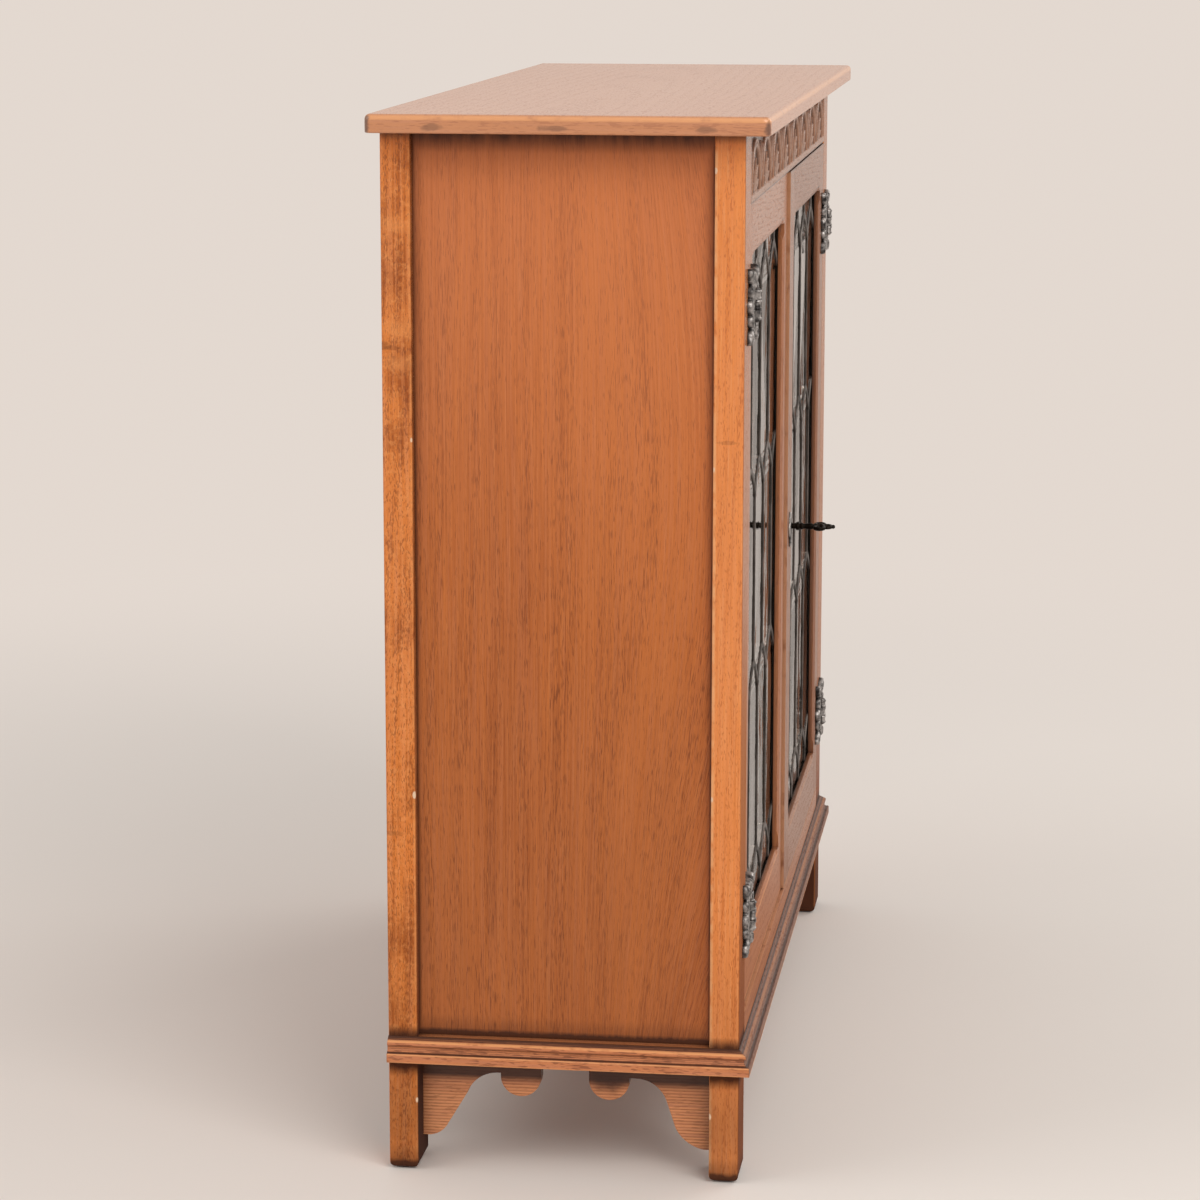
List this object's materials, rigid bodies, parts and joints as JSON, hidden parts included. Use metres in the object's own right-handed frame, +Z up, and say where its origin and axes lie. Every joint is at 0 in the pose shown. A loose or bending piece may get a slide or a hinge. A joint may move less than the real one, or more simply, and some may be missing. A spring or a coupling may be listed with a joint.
{
  "type": "glazed cabinet",
  "caption": "Low oak bookcase cabinet with a pair of leaded glass doors, carved arch frieze, surface hinges, key lock, shelves, moulded base and shaped aprons.",
  "frame": {"origin": "middle of the footprint's box on the floor under the cabinet", "axes": "+Z up, the doors face -Y, +X to the right seen from the front"},
  "size_m": [0.996, 0.363, 0.93],
  "materials": {
    "oak_side_panel": "satin lacquer",
    "oak_top": "satin lacquer",
    "oak_frame": "satin lacquer",
    "oak_trim": "satin lacquer over dark stain in the hollows",
    "oak_inside": "thin lacquer",
    "lead": "dull",
    "leaded_glass": "clear",
    "cast_hinge": "antique dark",
    "key_bronze": "dark bronze",
    "lock_steel": "plain"
  },
  "bodies": {
    "carcass": {"top_board": "oak_top", "post_front_left": "oak_frame", "post_front_right": "oak_frame", "post_back_left": "oak_frame", "post_back_right": "oak_frame", "side_panel_left": "oak_side_panel", "side_panel_right": "oak_side_panel", "side_rail_left": "oak_inside", "side_rail_right": "oak_inside", "base_mould_left": "oak_trim", "base_mould_right": "oak_trim", "apron_left": "oak_trim", "apron_right": "oak_trim", "back_panel": "oak_inside", "back_rail_top": "oak_inside", "back_rail_bottom": "oak_inside", "bottom_board": "oak_inside", "frieze_rail": "oak_trim", "bottom_rail_front": "oak_frame", "base_mould_front": "oak_trim", "apron_front": "oak_trim", "top_battens": "oak_inside", "batten_screws": "lock_steel", "glue_blocks": "oak_inside", "shelf_lower": "oak_inside", "shelf_upper": "oak_inside", "shelf_pins": "lock_steel", "door_stops": "oak_inside", "bolt_keeper": "lock_steel", "hinge_post_leaves": "cast_hinge", "hinge_pins": "cast_hinge", "hinge_post_screws": "cast_hinge"},
    "left_door": {"left_hinge_stile": "oak_frame", "left_meeting_stile": "oak_frame", "left_top_rail": "oak_frame", "left_bottom_rail": "oak_frame", "left_cames": "lead", "left_glass": "leaded_glass", "left_glazing_beads": "oak_frame", "left_hinge_leaves": "cast_hinge", "left_hinge_screws": "cast_hinge", "lock_keeper": "lock_steel", "bolt_plate": "lock_steel"},
    "right_door": {"right_hinge_stile": "oak_frame", "right_meeting_stile": "oak_frame", "right_top_rail": "oak_frame", "right_bottom_rail": "oak_frame", "right_cames": "lead", "right_glass": "leaded_glass", "right_glazing_beads": "oak_frame", "right_hinge_leaves": "cast_hinge", "right_hinge_screws": "cast_hinge", "escutcheon": "cast_hinge", "lock_case": "lock_steel"},
    "key": {"key": "key_bronze"},
    "lock_bolt": {"lock_bolt": "lock_steel"},
    "door_bolt": {"door_bolt": "lock_steel"}
  },
  "joints": [
    {"name": "left_door_hinge", "type": "hinge", "parent": "carcass", "child": "left_door", "pos_m": [-0.4195, -0.1421, 0.497], "axis": [0, 0, -1], "range_deg": [0, 165]},
    {"name": "right_door_hinge", "type": "hinge", "parent": "carcass", "child": "right_door", "pos_m": [0.4195, -0.1421, 0.497], "axis": [0, 0, 1], "range_deg": [0, 165]},
    {"name": "key_turn", "type": "hinge", "parent": "right_door", "child": "key", "pos_m": [0.016, -0.1365, 0.5035], "axis": [0, 1, 0], "range_deg": [0, 180]},
    {"name": "lock_bolt_slide", "type": "slide", "parent": "right_door", "child": "lock_bolt", "axis": [-1, 0, 0], "range_m": [0, 0.009]},
    {"name": "door_bolt_slide", "type": "slide", "parent": "left_door", "child": "door_bolt", "axis": [0, 0, 1], "range_m": [0, 0.01]}
  ],
  "couplings": [
    {"joint": "key_turn", "follows": "lock_bolt_slide", "rad_per_m": 349.07}
  ]
}
